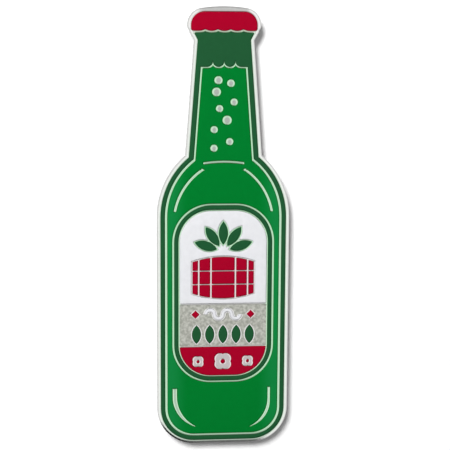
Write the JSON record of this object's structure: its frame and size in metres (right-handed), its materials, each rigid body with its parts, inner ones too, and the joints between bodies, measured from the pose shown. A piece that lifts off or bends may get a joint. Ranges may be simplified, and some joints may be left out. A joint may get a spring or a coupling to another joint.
{
  "type": "souvenir bottle opener",
  "caption": "Flat bottle-shaped souvenir opener: enamelled plated face on a steel carrier, with a riveted swing-out blade behind it that lifts crown caps.",
  "frame": {"origin": "on the resting surface under the middle of the bottle's length and width, with the opener lying on its back and its blade stowed", "axes": "+X across the bottle to the right seen from the face, +Y from the base to the cap, +Z out of the enamelled face"},
  "size_m": [0.0366, 0.1216, 0.0065],
  "materials": {
    "plated_metal": "bright nickel plate, polished lines, matt band",
    "red_enamel": "glossy hard enamel",
    "dark_green_enamel": "glossy hard enamel",
    "bright_green_enamel": "glossy hard enamel",
    "white_enamel": "glossy hard enamel",
    "adhesive": "cured adhesive",
    "carrier_steel": "nickel plated, lightly tumbled",
    "blade_steel": "brushed stainless",
    "rivet_steel": "turned",
    "washer_brass": "stamped"
  },
  "bodies": {
    "bottle": {"face_plate": "plated_metal", "cap_enamel": "red_enamel", "foil_enamel": "dark_green_enamel", "bottle_enamel": "bright_green_enamel", "label_ring_enamel": "dark_green_enamel", "label_field_enamel": "white_enamel", "cask_enamel": "red_enamel", "leaf_enamel": "dark_green_enamel", "wave_enamel": "white_enamel", "lozenge_enamel": "red_enamel", "grain_enamel": "dark_green_enamel", "label_base_enamel": "red_enamel", "bond_film": "adhesive", "carrier_plate": "carrier_steel", "pivot_rivet": "rivet_steel", "friction_washer": "washer_brass", "stop_pin": "rivet_steel"},
    "blade": {"opener_blade": "blade_steel"}
  },
  "joints": [
    {"name": "blade_swing", "type": "hinge", "parent": "bottle", "child": "blade", "pos_m": [0, -0.0475, 0.001], "axis": [0, 0, 1], "range_deg": [0, 180]}
  ]
}
